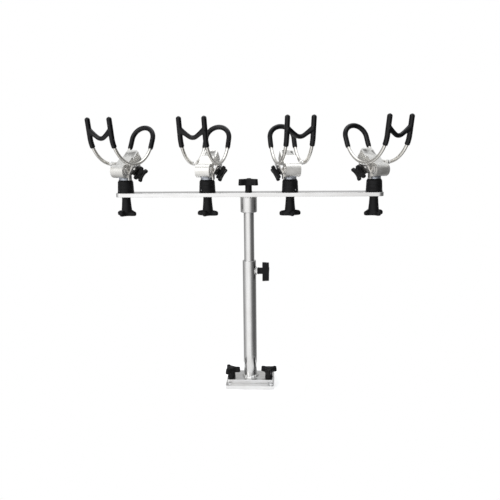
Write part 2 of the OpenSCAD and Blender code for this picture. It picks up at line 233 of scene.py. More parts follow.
def new_object(name, mesh):
    data = bpy.data.meshes.new(name)
    data.from_pydata(mesh[0], [], mesh[1])
    bm = bmesh.new()
    bm.from_mesh(data)
    bmesh.ops.recalc_face_normals(bm, faces=bm.faces)
    bm.to_mesh(data)
    bm.free()
    obj = bpy.data.objects.new(name, data)
    bpy.context.scene.collection.objects.link(obj)
    return obj


def bake(obj):
    """Replaces the object's mesh by the one that its modifiers give."""
    graph = bpy.context.evaluated_depsgraph_get()
    obj.data = bpy.data.meshes.new_from_object(obj.evaluated_get(graph))
    obj.modifiers.clear()
    return obj


def boolean(obj, mesh, operation="DIFFERENCE"):
    tool = new_object("cutter", mesh)
    mod = obj.modifiers.new("cut", "BOOLEAN")
    mod.operation, mod.object, mod.solver = operation, tool, "EXACT"
    bake(obj)
    bpy.data.objects.remove(tool)
    return obj


def bevelled(obj, width, segments=3, angle=40):
    mod = obj.modifiers.new("edges", "BEVEL")
    mod.limit_method, mod.angle_limit = "ANGLE", math.radians(angle)
    mod.width, mod.segments, mod.use_clamp_overlap = width, segments, True
    return bake(obj)


def moulded(obj, voxel, smooth=6, keep=0.5):
    """Melts overlapping solids into one soft skin."""
    mod = obj.modifiers.new("skin", "REMESH")
    mod.mode, mod.voxel_size = "VOXEL", voxel
    mod = obj.modifiers.new("soft", "SMOOTH")
    mod.factor, mod.iterations = 0.5, smooth
    if keep < 1:
        mod = obj.modifiers.new("lean", "DECIMATE")
        mod.ratio = keep
    return bake(obj)


def shaded(obj, angle=35):
    obj.data.polygons.foreach_set("use_smooth", [True] * len(obj.data.polygons))
    obj.data.set_sharp_from_angle(angle=math.radians(angle))
    return obj


def finished(obj, place, body, material, nodes=(), angle=35):
    """Puts a local shape in its place, on its body, in its finish."""
    matrix = SCALE @ place
    obj.data.transform(matrix)
    if matrix.determinant() < 0:
        obj.data.flip_normals()
    obj.data.materials.clear()
    obj.data.materials.append(material)
    shaded(obj, angle)
    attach(obj, body)
    if nodes:
        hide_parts(*nodes)
    return obj


def copied(template, name):
    obj = bpy.data.objects.new(name, template.data.copy())
    bpy.context.scene.collection.objects.link(obj)
    return obj


# ---- materials ----

class Surface:
    """A Principled material and short ways to add texture to it, in object space and metres."""

    def __init__(self, name, metallic, roughness):
        self.mat = bpy.data.materials.new(name)
        self.mat.use_nodes = True
        self.tree = self.mat.node_tree
        self.shader = self.tree.nodes["Principled BSDF"]
        self.shader.inputs["Metallic"].default_value = metallic
        self.shader.inputs["Roughness"].default_value = roughness
        self.coords = self.node("ShaderNodeTexCoord").outputs["Object"]
        self.height = None

    def node(self, kind, **values):
        node = self.tree.nodes.new(kind)
        for key, value in values.items():
            setattr(node, key, value)
        return node

    def link(self, a, b):
        self.tree.links.new(a, b)

    def noise(self, scale, stretch=(1, 1, 1), detail=3, rough=0.5):
        mapping = self.node("ShaderNodeMapping")
        mapping.inputs["Scale"].default_value = stretch
        self.link(self.coords, mapping.inputs["Vector"])
        noise = self.node("ShaderNodeTexNoise")
        noise.inputs["Scale"].default_value = scale
        noise.inputs["Detail"].default_value = detail
        noise.inputs["Roughness"].default_value = rough
        self.link(mapping.outputs["Vector"], noise.inputs["Vector"])
        return noise.outputs["Fac"]

    def ramp(self, fac, stops):
        ramp = self.node("ShaderNodeValToRGB")
        points = ramp.color_ramp.elements
        while len(points) < len(stops):
            points.new(0.5)
        for point, (place, colour) in zip(points, stops):
            point.position = place
            point.color = (*colour, 1) if len(colour) == 3 else colour
        self.link(fac, ramp.inputs["Fac"])
        return ramp.outputs["Color"]

    def span(self, fac, low, high, start=0.3, end=0.7):
        span = self.node("ShaderNodeMapRange")
        for key, value in (("From Min", start), ("From Max", end), ("To Min", low), ("To Max", high)):
            span.inputs[key].default_value = value
        self.link(fac, span.inputs["Value"])
        return span.outputs["Result"]

    def mixed(self, a, b, fac, blend="MIX"):
        mix = self.node("ShaderNodeMix", data_type="RGBA", blend_type=blend)
        if isinstance(fac, float):
            mix.inputs["Factor"].default_value = fac
        else:
            self.link(fac, mix.inputs["Factor"])
        self.link(a, mix.inputs["A"])
        self.link(b, mix.inputs["B"])
        return mix.outputs["Result"]

    def colour(self, value):
        self.link(value, self.shader.inputs["Base Color"])

    def roughness(self, value):
        self.link(value, self.shader.inputs["Roughness"])

    def bump(self, fac, depth, strength=1.0):
        """Adds a bump of that depth in metres on top of the ones before it."""
        bump = self.node("ShaderNodeBump")
        bump.inputs["Distance"].default_value = depth
        bump.inputs["Strength"].default_value = strength
        self.link(fac, bump.inputs["Height"])
        if self.height is not None:
            self.link(self.height, bump.inputs["Normal"])
        self.height = bump.outputs["Normal"]
        self.link(self.height, self.shader.inputs["Normal"])


def grey(v, warm=0.0):
    return (v * (1 + warm), v, v * (1 - warm))


def satin_aluminium(name, stretch, rough=(0.19, 0.30), tone=(0.66, 0.78)):
    """Drawn aluminium: fine lines along one axis, soft smudges and a faint clouding."""
    s = Surface(name, 1.0, 0.33)
    lines = s.noise(620, stretch, 5, 0.6)
    cloud = s.noise(22, (1, 1, 1), 3, 0.5)
    fine = s.ramp(lines, [(0.3, grey(tone[0])), (0.7, grey(tone[1]))])
    broad = s.ramp(cloud, [(0.3, grey(0.90, 0.01)), (0.7, grey(1.0))])
    s.colour(s.mixed(fine, broad, 1.0, "MULTIPLY"))
    s.roughness(s.span(lines, *rough))
    s.bump(lines, 0.00001, 0.2)
    return s.mat


def cast_aluminium(name):
    """Tumbled cast aluminium: bright, finely grained, slightly warm."""
    s = Surface(name, 1.0, 0.38)
    grain = s.noise(1500, (1, 1, 1), 3, 0.6)
    cloud = s.noise(60, (1, 1, 1), 4, 0.55)
    tone = s.ramp(cloud, [(0.3, (0.70, 0.69, 0.66)), (0.7, (0.80, 0.79, 0.77))])
    s.colour(s.mixed(tone, s.ramp(grain, [(0.35, grey(0.93)), (0.65, grey(1.0))]), 1.0, "MULTIPLY"))
    s.roughness(s.span(cloud, 0.40, 0.52))
    s.bump(grain, 0.00002, 0.15)
    s.bump(cloud, 0.00006, 0.1)
    return s.mat


def weld_metal(name):
    """Aluminium weld: whitish, with a painted highlight on the ripple crests and painted shade in the
    valleys.
    """
    s = Surface(name, 1.0, 0.3)
    lumps = s.noise(260, (1, 1, 1), 4, 0.6)
    # The colour follows the ripple height: painted highlight on the crests, painted shade in the valleys.
    s.colour(s.ramp(lumps, [(0.3, (0.62, 0.60, 0.57)), (0.55, (0.86, 0.86, 0.85)),
                            (0.75, (0.93, 0.93, 0.93))]))
    s.roughness(s.span(lumps, 0.45, 0.26))
    s.bump(lumps, 0.0003, 0.25)
    return s.mat


def stainless(name):
    """Polished round bar, slightly warm, with fine draw marks and light tarnish."""
    s = Surface(name, 1.0, 0.18)
    marks = s.noise(900, (1, 1, 1), 4, 0.6)
    cloud = s.noise(45, (1, 1, 1), 3, 0.5)
    s.colour(s.ramp(cloud, [(0.3, (0.74, 0.72, 0.67)), (0.7, (0.84, 0.82, 0.78))]))
    s.roughness(s.span(cloud, 0.28, 0.38))
    s.bump(marks, 0.00001, 0.15)
    return s.mat


def bracket_steel(name):
    """Sheared stainless sheet with fine rolling lines."""
    s = Surface(name, 1.0, 0.3)
    lines = s.noise(500, (1, 6, 1), 4, 0.6)
    s.colour(s.ramp(lines, [(0.3, (0.66, 0.64, 0.61)), (0.7, (0.78, 0.77, 0.75))]))
    s.roughness(s.span(lines, 0.24, 0.38))
    s.bump(lines, 0.00001, 0.2)
    return s.mat


def hub_metal(name):
    """Bluish grey alloy casting, satin and lightly clouded."""
    s = Surface(name, 1.0, 0.4)
    cloud = s.noise(90, (1, 1, 1), 3, 0.5)
    s.colour(s.ramp(cloud, [(0.3, (0.36, 0.38, 0.42)), (0.7, (0.46, 0.48, 0.52))]))
    s.roughness(s.span(cloud, 0.36, 0.48))
    s.bump(cloud, 0.00003, 0.1)
    return s.mat


def zinc(name):
    """Zinc-plated steel, faintly clouded."""
    s = Surface(name, 1.0, 0.3)
    cloud = s.noise(300, (1, 1, 1), 3, 0.5)
    s.colour(s.ramp(cloud, [(0.3, (0.55, 0.56, 0.58)), (0.7, (0.72, 0.73, 0.75))]))
    s.roughness(s.span(cloud, 0.24, 0.40))
    s.bump(cloud, 0.00004, 0.3)
    return s.mat


def moulded_plastic(name):
    """Glass-filled nylon: near black, finely grained, with dusty patches and light scuffs."""
    s = Surface(name, 0.0, 0.38)
    dark, dusty, worn_edge = (0.006, 0.006, 0.00648), (0.0114, 0.0114, 0.0126), (0.008, 0.008, 0.009)
    grain = s.noise(2600, (1, 1, 1), 2, 0.5)
    dust = s.noise(70, (1, 1, 1), 5, 0.65)
    scuff = s.noise(160, (1, 1, 9), 4, 0.7)
    base = s.ramp(dust, [(0.35, dark), (0.75, dusty)])
    worn = s.ramp(scuff, [(0.62, (0, 0, 0)), (0.80, worn_edge)])
    s.colour(s.mixed(base, worn, 1.0, "ADD"))
    s.roughness(s.span(dust, 0.30, 0.42))
    s.shader.inputs["Specular IOR Level"].default_value = 0.13
    s.bump(grain, 0.00004, 0.2)
    s.bump(dust, 0.0001, 0.08)
    return s.mat


def dipped_vinyl(name):
    """Dip-coated vinyl: glossy black with a faint orange-peel ripple."""
    s = Surface(name, 0.0, 0.16)
    peel = s.noise(230, (1, 1, 1), 2, 0.4)
    cloud = s.noise(60, (1, 1, 1), 3, 0.5)
    s.colour(s.ramp(cloud, [(0.35, (0.002, 0.002, 0.003)), (0.75, (0.005, 0.005, 0.006))]))
    s.roughness(s.span(cloud, 0.12, 0.20))
    s.shader.inputs["Specular IOR Level"].default_value = 0.2
    s.shader.inputs["Coat Weight"].default_value = 0.12
    s.shader.inputs["Coat Roughness"].default_value = 0.08
    s.bump(peel, 0.0002, 0.1)
    return s.mat


TUBE = satin_aluminium("tube_aluminium", (1, 1, 0.02))
PLATE = satin_aluminium("plate_aluminium", (0.02, 1, 1), (0.24, 0.36), (0.70, 0.84))
CAST = cast_aluminium("cast_aluminium")
WELD = weld_metal("weld_metal")
STEEL = stainless("stainless_bar")
SHEET = bracket_steel("bracket_sheet")
ZINC = zinc("zinc_steel")
PLASTIC = moulded_plastic("black_nylon")
HUB = hub_metal("hub_alloy")
VINYL = dipped_vinyl("black_vinyl")


# ---- base and post ----

HERE = Matrix.Identity(4)


def plate_outline(lo, hi, r, steps=8):
    corners = ((lo.x, lo.y), (hi.x, lo.y), (hi.x, hi.y), (lo.x, hi.y))
    return rounded([(x, y, r) for x, y in corners], steps)


def countersink(x, y, top, r, head_r):
    """Cutter for a countersunk screw hole."""
    depth = head_r - r
    profile = [(r, -5), (r, top - depth), (head_r + 1, top + 1)]
    return placed(lathe(profile, 40), moved(x, y, 0))


def drill(x, y, z0, z1, r):
    return placed(lathe([(r, z0), (r, z1)], 40), moved(x, y, 0))


def deck_plate():
    outline = plate_outline(DECK_LO, DECK_HI, DECK_CORNER_R)
    obj = new_object("deck_plate_detail", prism(outline, DECK_LO.z, DECK_HI.z))
    hole_x, hole_y = DECK_HI.x - SCREW_INSET_X, DECK_HI.y - SCREW_INSET_Y
    cutters = [countersink(x, y, DECK_HI.z, SCREW_R, SCREW_HEAD_R)
               for x in (-hole_x, hole_x) for y in (-hole_y, hole_y)]
    boolean(obj, joined(*cutters))
    bevelled(obj, EDGE)
    finished(obj, HERE, "base", PLATE, ["deck_plate"], FLAT_ANGLE)


def sole_plate():
    outline = plate_outline(SOLE_LO, SOLE_HI, SOLE_CORNER_R)
    obj = new_object("sole_plate_detail", prism(outline, SOLE_LO.z, SOLE_HI.z))
    bevelled(obj, EDGE)
    finished(obj, HERE, "base", PLATE, ["sole_plate"], FLAT_ANGLE)


def tube_wall(inner, outer, z0, z1, rim=0.6):
    """Open tube with rounded rims."""
    corners = [(inner, z0, 0.2), (outer, z0, rim), (outer, z1, rim), (inner, z1, 0.2)]
    return lathe(rounded(corners, 4), 96, closed=True)


def mast_sleeve():
    wall = tube_wall(MAST_R + FIT, SLEEVE_R, SLEEVE_LO.z, SLEEVE_HI.z)
    obj = new_object("mast_sleeve_detail", wall)
    hole = placed(drill(0, 0, 0, 30, STUD_R + FIT), moved(0, 0, CLAMP_Z) @ turned(90, "Y"))
    boolean(obj, hole)
    finished(obj, HERE, "base", TUBE, ["mast_sleeve"])


def mast_tube():
    obj = new_object("mast_tube_detail", tube_wall(MAST_R - MAST_WALL, MAST_R, MAST_LO.z, MAST_HI.z))
    finished(obj, HERE, "mast", TUBE, ["mast_tube"])


def weld_bead(r, leg, ripples, segments=240, seed=0):
    """Fillet of overlapping weld puddles round a tube of radius r, standing on z = 0."""
    rings = []
    for k in range(segments):
        a = 2 * math.pi * k / segments
        phase = (ripples * k / segments) % 1
        lump = 0.80 + 0.20 * math.sin(math.pi * phase) ** 0.6
        drift = 0.05 * math.sin(3 * a + seed) + 0.04 * math.sin(7 * a + 2 * seed)
        size = leg * (lump + drift)
        ring = [(r - 0.6, -0.3)]
        for j in range(9):
            t = math.radians(90 * j / 8)
            bulge = size * (1 - 0.16 * math.sin(2 * t))
            ring.append((r + bulge * math.cos(t) ** 1.15, bulge * math.sin(t) ** 1.15))
        ring.append((r - 0.6, size))
        rings.append([(x * math.cos(a), x * math.sin(a), z) for x, z in ring])
    return loft(rings, closed_rows=True)


def sleeve_weld():
    obj = new_object("sleeve_weld_bead", weld_bead(SLEEVE_R, 5.0, 15))
    finished(obj, moved(0, 0, BASE_TOP), "base", WELD, ["sleeve_weld"], 60)


def clamp_boss():
    """Round boss on the sleeve's side, and the weld that follows the tube round it."""
    bore = STUD_R + FIT
    profile = rounded([(bore, BOSS_FOOT, 0), (BOSS_R, BOSS_FOOT, 0), (BOSS_R, BOSS_END, 0.9),
                       (bore, BOSS_END, 0.4)], 4)
    obj = new_object("clamp_boss_detail", lathe(profile, 64, closed=True))
    side = moved(0, 0, CLAMP_Z) @ turned(90, "Y")
    finished(obj, side, "base", TUBE, ["clamp_boss"])
    turns = np.linspace(0, 2 * math.pi, 49)[:-1]
    bead = [(BOSS_WELD_R * math.cos(a), BOSS_WELD_R * math.sin(a)) for a in turns]
    path = [(math.sqrt(max(SLEEVE_R ** 2 - y * y, 0)) + 0.1, y, z) for y, z in bead]
    path.append(path[0])
    radii = [1.25 + 0.25 * math.sin(k * 2.1) for k in range(len(path))]
    radii[-1] = radii[0]
    weld = new_object("clamp_boss_weld", sweep(path, radii, 10))
    finished(weld, moved(0, 0, CLAMP_Z), "base", WELD, (), 60)


# ---- moulded knobs ----

class Lobes:
    """Outline of a lobed knob: arms with round tips that flow into a round middle."""

    def __init__(self, count, tip_r, reach, hub_r, flow, start=0.0, points=240):
        self.angles = np.linspace(0, 2 * math.pi, points, endpoint=False)
        r = np.linspace(0, reach + 2, 700)
        x = r[None, :] * np.cos(self.angles)[:, None]
        y = r[None, :] * np.sin(self.angles)[:, None]
        d = np.sqrt(x * x + y * y) - hub_r
        for i in range(count):
            a = math.radians(start) + 2 * math.pi * i / count
            along = np.clip(x * math.cos(a) + y * math.sin(a), 0, reach - tip_r)
            arm = np.hypot(x - along * math.cos(a), y - along * math.sin(a)) - tip_r
            h = np.clip(0.5 + 0.5 * (d - arm) / flow, 0, 1)
            d = d * (1 - h) + arm * h - flow * h * (1 - h)
        self.d, self.r = d, r

    def ring(self, inset, z, share=1.0, least=0.0):
        """Points on the outline moved in by inset, at height z, no nearer the middle than least."""
        inside = self.d <= -inset
        last = np.maximum(inside.shape[1] - 1 - inside[:, ::-1].argmax(axis=1), 1)
        last = np.where(inside.any(axis=1), last, 1)
        radius = np.maximum(self.r[last] * share, least)
        return [(q * math.cos(a), q * math.sin(a), z) for q, a in zip(radius, self.angles)]

    def circle(self, radius, z):
        return [(radius * math.cos(a), radius * math.sin(a), z) for a in self.angles]


def three_lobe_knob(sizes, start):
    """Clamp knob: collar-foot stem, draughted head with a rim round a shallow dish, and a cap."""
    stem_r, stem_h, head_h, reach, tip_r = sizes
    lobes = Lobes(3, tip_r, reach, stem_r + 1.0, 4.0, start)
    top = stem_h + head_h
    c = lobes.circle
    rings = [c(0.5, 0), c(stem_r - 0.6, 0), c(stem_r, 0.6), c(stem_r, 3.2), c(stem_r - 0.5, 3.8),
             c(stem_r - 0.5, stem_h - 1.2), c(stem_r + 0.3, stem_h)]
    foot = ((1.6, 0), (0.5, 0.25), (0.05, 1.0), (0.0, 1.6))
    rim = ((0.9, 1.2), (1.05, 0.6), (1.3, 0.25), (1.9, 0), (2.7, 0), (3.0, 0.3), (3.15, 1.3), (3.5, 1.6))
    rings += [lobes.ring(inset, stem_h + up) for inset, up in foot]
    rings += [lobes.ring(inset, top - down) for inset, down in rim]
    cap = stem_r - 4.2
    rings += [c(cap + 0.9, top - 1.6), c(cap, top - 1.3), c(cap - 0.3, top - 0.5),
              c(cap - 1.0, top - 0.2), c(0.4, top - 0.1)]
    return loft(rings)


def stud(r, length, pitch=1.25):
    """Threaded rod down from z = 0."""
    profile = [(0.3, -length), (r - 1.2, -length)]
    turns = int((length - 1) / pitch)
    for k in range(turns):
        z = -length + 1.0 + k * pitch
        profile += [(r - 0.65, z), (r - 0.02, z + pitch * 0.45), (r - 0.02, z + pitch * 0.55)]
    profile += [(r - 0.65, 0.2), (0.3, 0.2)]
    return lathe(profile, 32)


def base_knobs():
    for side, start in (("left", 0), ("right", 30)):
        body = f"base_knob_{side}"
        at = moved(JOINTS[f"{body}_turn"]["pos_m"][0] / MM, BASE_KNOB_Y, BASE_TOP + GAP)
        knob = new_object(f"{body}_moulding", three_lobe_knob(BASE_KNOB, start))
        finished(knob, at, body, PLASTIC, [body], 40)
        rod = new_object(f"{body}_stud", stud(STUD_R, BASE_STUD_LEN))
        finished(rod, at, body, ZINC, (), 30)


def mast_clamp():
    at = moved(BOSS_END + GAP, 0, CLAMP_Z) @ turned(90, "Y")
    knob = new_object("mast_clamp_moulding", three_lobe_knob(MAST_KNOB, 90))
    finished(knob, at, "mast_clamp", PLASTIC, ["mast_clamp_knob"], 40)
    bolt = new_object("mast_clamp_stud", stud(STUD_R, BOSS_END - MAST_R))
    finished(bolt, at, "mast_clamp", ZINC, ["mast_clamp_bolt"], 30)


def bar_knob():
    at = moved(0, 0, BAR_TOP + GAP)
    knob = new_object("bar_knob_moulding", three_lobe_knob(BAR_KNOB, 90))
    finished(knob, at, "bar_knob", PLASTIC, ["bar_knob"], 40)
    bolt = new_object("bar_knob_stud", stud(STUD_R, BAR_TOP + GAP - box_mm("bar_bolt")[0].z))
    finished(bolt, at, "bar_knob", ZINC, ["bar_bolt"], 30)


# ---- cross bar ----

def cross_bar():
    outline = plate_outline(BAR_LO, BAR_HI, BAR_CORNER_R, 12)
    obj = new_object("cross_bar_detail", prism(outline, BAR_LO.z, BAR_HI.z))
    places = [JOINTS[f"swivel_{n}_turn"]["pos_m"][0] / MM for n in HOLDERS] + [0]
    boolean(obj, joined(*[drill(x, 0, BAR_LO.z - 2, BAR_HI.z + 2, STUD_R + FIT) for x in places]))
    bevelled(obj, EDGE)
    finished(obj, HERE, "bar", PLATE, ["cross_bar"], FLAT_ANGLE)


def bar_socket():
    """Socket with a chamfered mouth and a thin roof, and the weld that hangs it from the bar."""
    low, high, r = SOCKET_LO.z, SOCKET_HI.z, SOCKET_R
    bore, bolt_bore = MAST_R + FIT, STUD_R + FIT
    chamfer, roof = 1.5, 1.0
    profile = rounded([(bore, low, 0.5), (r - chamfer, low, 0.3), (r, low + chamfer, 0.4), (r, high, 0),
                       (bolt_bore, high, 0), (bolt_bore, high - roof, 0), (bore, high - roof, 0)], 3)
    obj = new_object("bar_socket_detail", lathe(profile, 96, closed=True))
    finished(obj, HERE, "bar", TUBE, ["bar_socket"])
    weld = new_object("socket_weld_bead", weld_bead(r, 3.5, 20, seed=2))
    hung = moved(0, 0, BAR_LO.z) @ Matrix.Scale(-1, 4, (0, 0, 1))
    finished(weld, hung, "bar", WELD, ["socket_weld"], 60)


# ---- rod holder shapes, in its local frame ----

def holder_frame(n):
    """Local frame of a rod holder, found from its joints and the side its bracket is on."""
    foot = Vector(JOINTS[f"swivel_{n}_turn"]["pos_m"]) / MM
    tilt = Vector(JOINTS[f"cradle_{n}_tilt"]["pos_m"]) / MM
    ahead = Vector((tilt.x - foot.x, tilt.y - foot.y, 0)).normalized()
    lo, hi = box_mm(f"lock_bracket_{n}")
    across = Vector((-ahead.y, ahead.x, 0))
    if across.dot((lo + hi) / 2 - foot) < 0:
        across = -across
    return Matrix(((across.x, -ahead.x, 0, foot.x), (across.y, -ahead.y, 0, foot.y),
                   (0, 0, 1, BAR_TOP), (0, 0, 0, 1)))


# local +X forward, +Y up and +Z along the tilt axis
AT_TILT = moved(0, -TILT_F, TILT_Z) @ Matrix(((0, 0, -1, 0), (-1, 0, 0, 0), (0, 1, 0, 0), (0, 0, 0, 1)))
ALONG_PLATE = AT_TILT @ turned(180 - PLATE_ANGLE, "Z")


def at_web():
    """The bracket web's plane: +X forward, +Y up the web and +Z outward."""
    lean = math.radians(WEB_LEAN)
    up = Vector((math.sin(lean), 0, math.cos(lean)))
    out = Vector((math.cos(lean), 0, -math.sin(lean)))
    return Matrix(((0, up.x, out.x, BRACKET_X + BRACKET_T / 2), (-1, up.y, out.y, 0),
                   (0, up.z, out.z, FOLD_Z), (0, 0, 0, 1)))


def collar_mesh():
    """Tapered swivel collar: a foot, two fine grooves round it, a bevelled top and a screw hole."""
    foot = [(6, 0, 0), (20.0, 0, 0.4), (20.5, 0.9, 0.4), (19.95, 3.4, 0.8)]
    low_groove = [(19.75, 8.6, 0.1), (19.35, 9.0, 0.1), (19.35, 9.5, 0.1), (19.68, 9.9, 0.1)]
    high_groove = [(19.3, 17.4, 0.1), (18.9, 17.8, 0.1), (18.9, 18.3, 0.1), (19.2, 18.7, 0.1)]
    top = [(18.85, 26.4, 1.2), (16.1, COLLAR_H, 0.6), (6, COLLAR_H, 0)]
    corners = foot + low_groove + high_groove + top
    obj = new_object("collar", lathe(rounded(corners, 4, closed=False), 96, closed=True))
    hole = placed(lathe([(2.4, 14), (2.4, 30)], 24), screw_place())
    return boolean(obj, hole)


def screw_place():
    """Along the set screw in the collar's side, +Z outward."""
    return moved(0, 0, SCREW_UP) @ turned(SCREW_TURN, "Z") @ turned(90, "X")


def hex_recess(points):
    """Distances to a hexagon of inner radius 1 in that many directions."""
    turns = [2 * math.pi * k / points for k in range(points)]
    return [1 / math.cos(a % (math.pi / 3) - math.pi / 6) for a in turns]


def socket_screw(r, z0, z1, recess, edge=0.3):
    """Round screw end with a hexagon socket."""
    n = 48
    angles = [2 * math.pi * k / n for k in range(n)]
    hexagon = hex_recess(n)

    def ring(values, z):
        return [(v * math.cos(a), v * math.sin(a), z) for v, a in zip(values, angles)]

    flats = [recess * h for h in hexagon]
    rings = [ring([r] * n, z0), ring([r] * n, z1 - edge), ring([r - edge] * n, z1),
             ring(flats, z1), ring(flats, z1 - recess * 1.3), ring([0.1] * n, z1 - recess * 1.6)]
    return loft(rings)


def hub_mesh():
    """Neck, lug and drum as one casting, and its bolts: a screw in each end of the drum and the stud."""
    neck = lathe(rounded([(0.5, COLLAR_H, 0), (NECK_R, COLLAR_H, 0), (NECK_R, NECK_TOP, 1.2),
                          (0.5, NECK_TOP, 0)], 5, closed=False), 72)
    bore, sunk = 4.2, 1.2
    drum = lathe(rounded([(bore, -DRUM_HALF + sunk, 0), (bore, -DRUM_HALF, 0.3), (DRUM_R, -DRUM_HALF, 0.8),
                          (DRUM_R, DRUM_HALF, 0.8), (bore, DRUM_HALF, 0.3), (bore, DRUM_HALF - sunk, 0)],
                         4, closed=False), 64)
    screw = socket_screw(3.9, 0, DRUM_HALF - 0.4, 2.2)
    bolt = joined(screw, placed(screw, turned(180, "X")))
    reach = (TILT_Z - NECK_TOP) / math.sin(math.radians(LUG_ANGLE)) + 1.5
    lug = placed(prism(rounded([(0, -LUG_W / 2, 0), (reach, -LUG_W / 2, 0), (reach, LUG_W / 2, 0),
                                (0, LUG_W / 2, 0)], 1), -LUG_HALF, LUG_HALF), turned(180 + LUG_ANGLE, "Z"))
    shaft = stud(STUD_R, HUB_STUD_LEN)
    return (new_object("hub", joined(neck, placed(joined(drum, lug), AT_TILT))),
            new_object("hub_bolts", joined(placed(bolt, AT_TILT), shaft)))


def clamp_knob_mesh():
    """Tapered stem that flows into four round lobes, with a domed end. Hangs down from z = 0."""
    lobes = Lobes(4, 5.2, 26.8, 13.5, 6.5)
    c = lobes.circle
    rings = [c(0.5, 0), c(10.3, 0), c(10.9, 0.6), c(11.0, 3.0), c(10.5, 3.6), c(10.6, 6), c(11.6, 20),
             c(12.8, 32)]
    flare = ((6.0, 34.0), (4.2, 35.6), (2.4, 36.9), (1.0, 38.1), (0.3, 39.2))
    grip = ((0.0, 40.5), (0.0, 43.8), (0.35, 45.2), (1.2, 46.3), (2.6, 47.1), (4.4, 47.5))
    rings += [lobes.ring(inset, z, least=13.0) for inset, z in flare]
    rings += [lobes.ring(inset, z) for inset, z in grip]
    rings += [lobes.ring(5.0, 48.0, 0.8), lobes.ring(5.0, 48.3, 0.45), c(0.5, 48.4)]
    obj = new_object("clamp_knob", loft(rings))
    obj.data.transform(Matrix.Scale(-1, 4, (0, 0, 1)))
    obj.data.flip_normals()
    boolean(obj, lathe([(STUD_R + FIT, -35), (STUD_R + FIT, 3)], 32))
    return obj


def star_knob_mesh():
    """Four-lobe knob with a rim round a dished face, standing off the bracket on its hub."""
    lobes = Lobes(4, 4.6, 23.2, 11.5, 7.5, STAR_TURN)
    c = lobes.circle
    rings = [c(3.1, 0), c(7.4, 0), c(8.0, 0.6), c(7.8, 3.0), c(8.2, 3.6)]
    grip = ((2.4, 3.6), (1.0, 4.0), (0.3, 4.9), (0.0, 6.2), (0.0, 8.6), (0.25, 10.4))
    rim = ((0.8, 11.7), (1.6, 12.4), (2.2, 12.5), (2.6, 12.2), (2.9, 11.5), (3.3, 11.2))
    rings += [lobes.ring(inset, z) for inset, z in grip + rim]
    rings += [c(5.4, 11.2), c(4.8, 11.6), c(4.6, 12.1), c(3.4, 12.4), c(0.4, 12.45)]
    return new_object("star_knob", loft(rings)), new_object("star_bolt", stud(STAR_BOLT_R, 11.6))


def tilt_block_mesh():
    """Barrel, sloping plate and grooved flange as one casting, cut for the drum, the lug and the hole."""
    first = math.sqrt(BARREL_R ** 2 - PLATE_T ** 2) + 1.5
    grip = math.degrees(math.asin(PLATE_T / BARREL_R))
    side = arc(0, 0, BARREL_R, grip + 3, 360 - grip - 3, 56) + [(first, -PLATE_T)]
    plate = [(first, -PLATE_T, 0), (SLAB_LEN, -PLATE_T, 1.2), (SLAB_LEN + 1.5, 0, 1.0),
             (PLATE_LEN, 0, 0.8), (PLATE_LEN, PLATE_T, 1.2), (first, PLATE_T, 0)]
    side += rounded(plate, 4, closed=False)[1:]
    obj = new_object("tilt_block", prism(side, -BARREL_HALF, BARREL_HALF))
    neck = BARREL_R + 5
    plan = rounded([(-30, -BARREL_HALF - 1, 0), (neck - 1, -BARREL_HALF - 1, 0), (neck, -PLATE_HALF, 0),
                    (PLATE_LEN, -PLATE_HALF, PLATE_CORNER), (PLATE_LEN, PLATE_HALF, PLATE_CORNER),
                    (neck, PLATE_HALF, 0), (neck - 1, BARREL_HALF + 1, 0), (-30, BARREL_HALF + 1, 0)], 8)
    boolean(obj, placed(prism(plan, -40, 40), turned(90, "X")), "INTERSECT")
    flange = rounded([(38, 1.5, 0), (FLANGE_END, 1.5, 0), (FLANGE_END, FLANGE_FOOT, 7),
                      (SLAB_LEN, FLANGE_FOOT, 5), (38, 6, 0)], 6)
    boolean(obj, prism(flange, -PLATE_HALF + 0.05, -PLATE_HALF + FLANGE_T), "UNION")
    bevelled(obj, 0.8, 3, 45)
    spread = math.degrees(math.asin(LUG_W / 2 / DRUM_R))
    rest = LUG_ANGLE + PLATE_ANGLE
    wedge = [(0, 0)] + arc(0, 0, BARREL_R + 8, rest - spread - 9, rest + spread + 35, 10)
    bore = lathe([(DRUM_R + FIT, -30), (DRUM_R + FIT, 30)], 72)
    rim = 0.6
    hole = lathe([(HOLE_SINK_R + rim, -20), (HOLE_SINK_R + rim, 0), (HOLE_SINK_R, rim),
                  (HOLE_SINK_R, HOLE_SINK), (HOLE_R, HOLE_SINK), (HOLE_R, 20)], 48)
    cutters = [prism(wedge, -SLOT_HALF, SLOT_HALF), bore,
               placed(hole, moved(HOLE_AT, 0, 0) @ turned(-90, "X"))]
    tooth = prism([(1.0, -1.7), (1.0, 1.7), (-1.4, 0)], -22, 22)
    for k in range(GROOVES):
        at = moved(59, 1 + GROOVE_STEP * k, -PLATE_HALF) @ turned(GROOVE_TURN, "Z")
        cutters.append(placed(tooth, at @ turned(90, "Y")))
    for cutter in cutters:
        boolean(obj, cutter)
    return obj


def arc3(centre, r, a0, a1, steps):
    """Points (forward, height) round a bend."""
    return [(centre[0] + r * math.cos(math.radians(a)), centre[1] + r * math.sin(math.radians(a)))
            for a in np.linspace(a0, a1, steps + 1)]


def bend_centre(centre, r, a):
    return (centre[0] + r * math.cos(math.radians(a)), centre[1] + r * math.sin(math.radians(a)))


